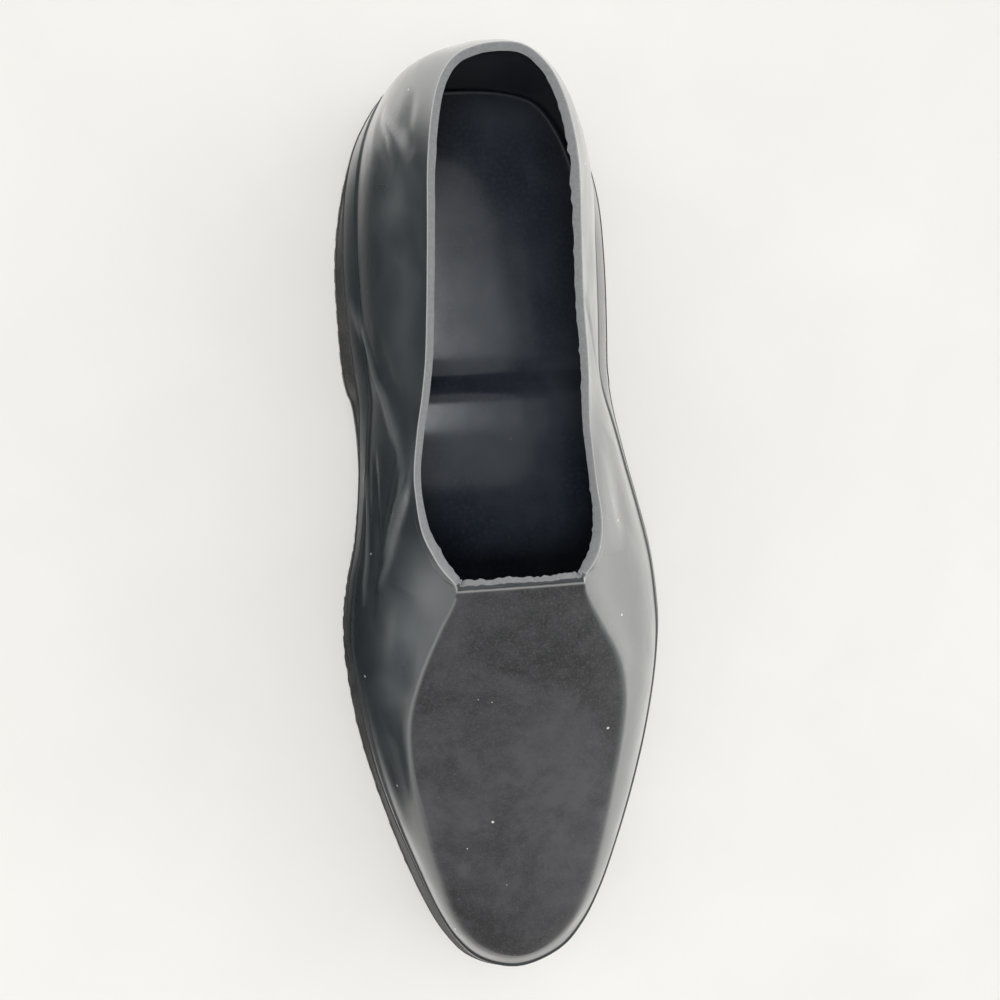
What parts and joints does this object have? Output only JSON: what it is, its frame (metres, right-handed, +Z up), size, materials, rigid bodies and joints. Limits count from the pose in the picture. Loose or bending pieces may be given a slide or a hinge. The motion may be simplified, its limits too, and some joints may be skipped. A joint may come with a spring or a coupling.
{
  "type": "rubber overshoe",
  "caption": "Low slip-on rubber overshoe with an open collar, flat vamp panel, raised throat edge, heel pocket and ribbed sole.",
  "frame": {"origin": "centre of the shoe's box, on the plane that it stands on", "axes": "+Z up, -Y towards the toe, +Y towards the heel, +X towards the lateral side of this left shoe"},
  "size_m": [0.117, 0.319, 0.0842],
  "materials": {
    "rubber_upper": "glossy black moulded rubber with a dusty matte vamp panel",
    "rubber_sole": "satin black rubber, worn and dusty at the tread edge",
    "rubber_insole": "smooth blue-black rubber with vague smoky gloss"
  },
  "bodies": {
    "root": {"upper": "rubber_upper", "outsole": "rubber_sole", "insole": "rubber_insole"}
  },
  "joints": []
}
